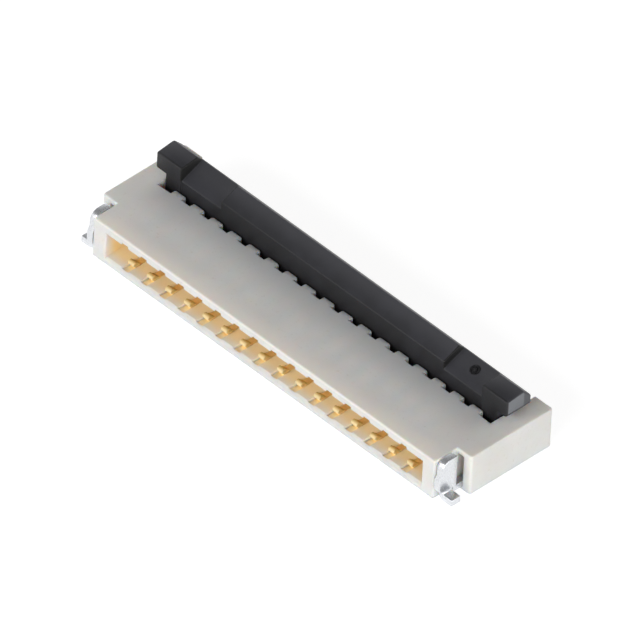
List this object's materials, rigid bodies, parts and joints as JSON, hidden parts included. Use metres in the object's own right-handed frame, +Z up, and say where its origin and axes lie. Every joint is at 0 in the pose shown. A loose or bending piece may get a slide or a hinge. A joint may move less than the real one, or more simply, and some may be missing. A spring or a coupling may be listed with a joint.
{
  "type": "fpc connector",
  "caption": "Low surface-mount connector for a flat flexible cable: a row of H-shaped contacts, a toothed rear edge and a flip actuator that turns down behind the housing to clamp the cable",
  "frame": {"origin": "on the board under the centre of the overall box, with the actuator upright", "axes": "+X along the row of contacts, the cable enters towards +Y, +Z up from the board"},
  "size_m": [0.01, 0.0032, 0.0015],
  "materials": {
    "housing": "ivory moulded plastic",
    "actuator": "black moulded plastic",
    "nail": "bright tin plating",
    "contact": "gold plating"
  },
  "bodies": {
    "connector_body": {"housing": "housing", "fitting_nail_left": "nail", "fitting_nail_right": "nail", "contact_01": "contact", "contact_02": "contact", "contact_03": "contact", "contact_04": "contact", "contact_05": "contact", "contact_06": "contact", "contact_07": "contact", "contact_08": "contact", "contact_09": "contact", "contact_10": "contact", "contact_11": "contact", "contact_12": "contact", "contact_13": "contact", "contact_14": "contact", "contact_15": "contact", "contact_16": "contact"},
    "flip_bar": {"actuator": "actuator"}
  },
  "joints": [
    {"name": "actuator_flip", "type": "hinge", "parent": "connector_body", "child": "flip_bar", "pos_m": [0, 0.00071, 0.0004], "axis": [-1, 0, 0], "range_deg": [0, 90]}
  ]
}
